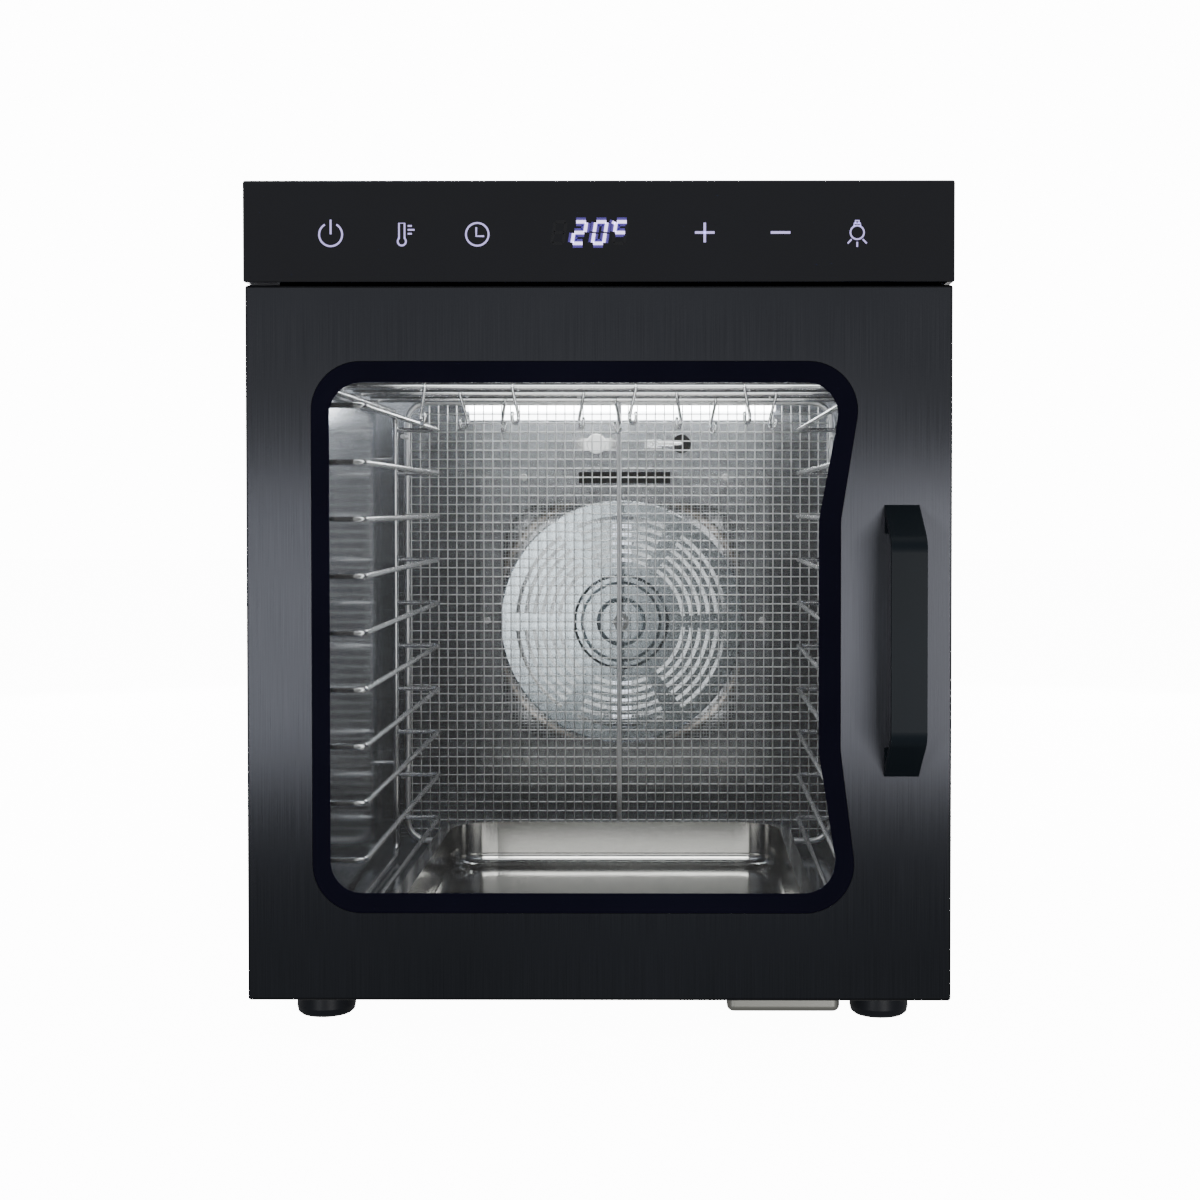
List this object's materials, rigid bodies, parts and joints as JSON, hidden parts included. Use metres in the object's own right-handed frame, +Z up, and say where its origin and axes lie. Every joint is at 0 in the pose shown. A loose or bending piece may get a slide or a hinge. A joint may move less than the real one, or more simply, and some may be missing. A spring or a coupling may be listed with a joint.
{
  "type": "food dehydrator",
  "caption": "Front-loading steel food dehydrator with a windowed side-hinged door, touch fascia, wire rail racks, hanging hooks and a guarded rear fan.",
  "frame": {"origin": "centre of the footprint, on the surface that the feet stand on", "axes": "+Z up, -Y towards the door and the user, +X to the user's right"},
  "size_m": [0.3464, 0.48, 0.418],
  "materials": {
    "black_shell": "satin powder coat",
    "black_brushed_steel": "vertical brush, black tinted",
    "black_gloss": "high gloss",
    "black_handle": "satin",
    "polished_steel": "polished",
    "tray_steel": "bright",
    "bright_disc": "satin",
    "chrome_wire": "bright",
    "galvanised": "pale sheet",
    "motor_steel": "satin",
    "shaft_steel": "satin",
    "heater_steel": "heat-stained",
    "hinge_steel": "satin",
    "magnet": "matte",
    "window_glass": "clear with a black printed border",
    "seal_rubber": "matte",
    "foot_rubber": "satin",
    "black_plastic": "matte",
    "circuit_board": "satin",
    "lamp_glow": "frosted"
  },
  "bodies": {
    "cabinet": {"back_panel": "black_shell", "back_panel_screws": "shaft_steel", "base_plate": "galvanised", "chamber_back_wall": "polished_steel", "chamber_ceiling": "polished_steel", "chamber_floor": "polished_steel", "chamber_side_left": "polished_steel", "chamber_side_right": "polished_steel", "control_board": "circuit_board", "control_fascia": "black_gloss", "diffuser_disc": "bright_disc", "diffuser_nut": "chrome_wire", "diffuser_strap": "polished_steel", "fan_motor": "motor_steel", "fan_plenum": "galvanised", "fan_screen": "chrome_wire", "fan_shroud": "polished_steel", "foot_screws": "shaft_steel", "front_frame": "black_shell", "guard_frame": "chrome_wire", "guard_mesh": "chrome_wire", "hanging_rods": "chrome_wire", "heating_element": "heater_steel", "hinge_lower": "hinge_steel", "hinge_upper": "hinge_steel", "lamp_holder": "polished_steel", "lamp_tube": "lamp_glow", "magnet_catch": "magnet", "outer_shell": "black_shell", "power_board": "circuit_board", "power_inlet": "black_plastic", "rail_rack_left": "chrome_wire", "rail_rack_right": "chrome_wire", "rubber_feet": "foot_rubber", "shroud_screws": "shaft_steel", "temperature_probe": "chrome_wire", "thermostat": "polished_steel", "underside_cover": "galvanised"},
    "door": {"door_skin": "black_brushed_steel", "door_inner_pan": "black_shell", "window_glass": "window_glass", "door_seal": "seal_rubber", "handle": "black_handle", "handle_screws": "shaft_steel", "door_hinge_leaves": "hinge_steel", "catch_striker": "hinge_steel"},
    "fan": {"fan_wheel": "bright_disc", "motor_shaft": "shaft_steel"},
    "drip_tray": {"drip_tray": "tray_steel"},
    "hook_01": {"hook_01": "chrome_wire"},
    "hook_02": {"hook_02": "chrome_wire"},
    "hook_03": {"hook_03": "chrome_wire"},
    "hook_04": {"hook_04": "chrome_wire"},
    "hook_05": {"hook_05": "chrome_wire"},
    "hook_06": {"hook_06": "chrome_wire"},
    "hook_07": {"hook_07": "chrome_wire"},
    "hook_08": {"hook_08": "chrome_wire"},
    "hook_09": {"hook_09": "chrome_wire"},
    "hook_10": {"hook_10": "chrome_wire"},
    "hook_11": {"hook_11": "chrome_wire"}
  },
  "joints": [
    {"name": "door_hinge", "type": "hinge", "parent": "cabinet", "child": "door", "pos_m": [-0.1685, -0.198, 0.19], "axis": [0, 0, -1], "range_deg": [0, 130]},
    {"name": "fan_spin", "type": "hinge", "parent": "cabinet", "child": "fan", "pos_m": [0.001, 0.19, 0.18], "axis": [0, 1, 0], "continuous": true},
    {"name": "tray_slide", "type": "slide", "parent": "cabinet", "child": "drip_tray", "axis": [0, -1, 0], "range_m": [0, 0.022]},
    {"name": "hook_01_swing", "type": "hinge", "parent": "cabinet", "child": "hook_01", "pos_m": [-0.104, -0.075, 0.327], "axis": [1, 0, 0], "range_deg": [-30, 30]},
    {"name": "hook_02_swing", "type": "hinge", "parent": "cabinet", "child": "hook_02", "pos_m": [-0.052, -0.075, 0.327], "axis": [1, 0, 0], "range_deg": [-30, 30]},
    {"name": "hook_03_swing", "type": "hinge", "parent": "cabinet", "child": "hook_03", "pos_m": [0.014, -0.075, 0.327], "axis": [1, 0, 0], "range_deg": [-30, 30]},
    {"name": "hook_04_swing", "type": "hinge", "parent": "cabinet", "child": "hook_04", "pos_m": [0.078, -0.075, 0.327], "axis": [1, 0, 0], "range_deg": [-30, 30]},
    {"name": "hook_05_swing", "type": "hinge", "parent": "cabinet", "child": "hook_05", "pos_m": [-0.088, -0.013, 0.327], "axis": [1, 0, 0], "range_deg": [-30, 30]},
    {"name": "hook_06_swing", "type": "hinge", "parent": "cabinet", "child": "hook_06", "pos_m": [-0.018, -0.013, 0.327], "axis": [1, 0, 0], "range_deg": [-30, 30]},
    {"name": "hook_07_swing", "type": "hinge", "parent": "cabinet", "child": "hook_07", "pos_m": [0.04, -0.013, 0.327], "axis": [1, 0, 0], "range_deg": [-30, 30]},
    {"name": "hook_08_swing", "type": "hinge", "parent": "cabinet", "child": "hook_08", "pos_m": [0.096, -0.013, 0.327], "axis": [1, 0, 0], "range_deg": [-30, 30]},
    {"name": "hook_09_swing", "type": "hinge", "parent": "cabinet", "child": "hook_09", "pos_m": [-0.07, 0.049, 0.327], "axis": [1, 0, 0], "range_deg": [-30, 30]},
    {"name": "hook_10_swing", "type": "hinge", "parent": "cabinet", "child": "hook_10", "pos_m": [0.002, 0.049, 0.327], "axis": [1, 0, 0], "range_deg": [-30, 30]},
    {"name": "hook_11_swing", "type": "hinge", "parent": "cabinet", "child": "hook_11", "pos_m": [0.062, 0.049, 0.327], "axis": [1, 0, 0], "range_deg": [-30, 30]}
  ]
}
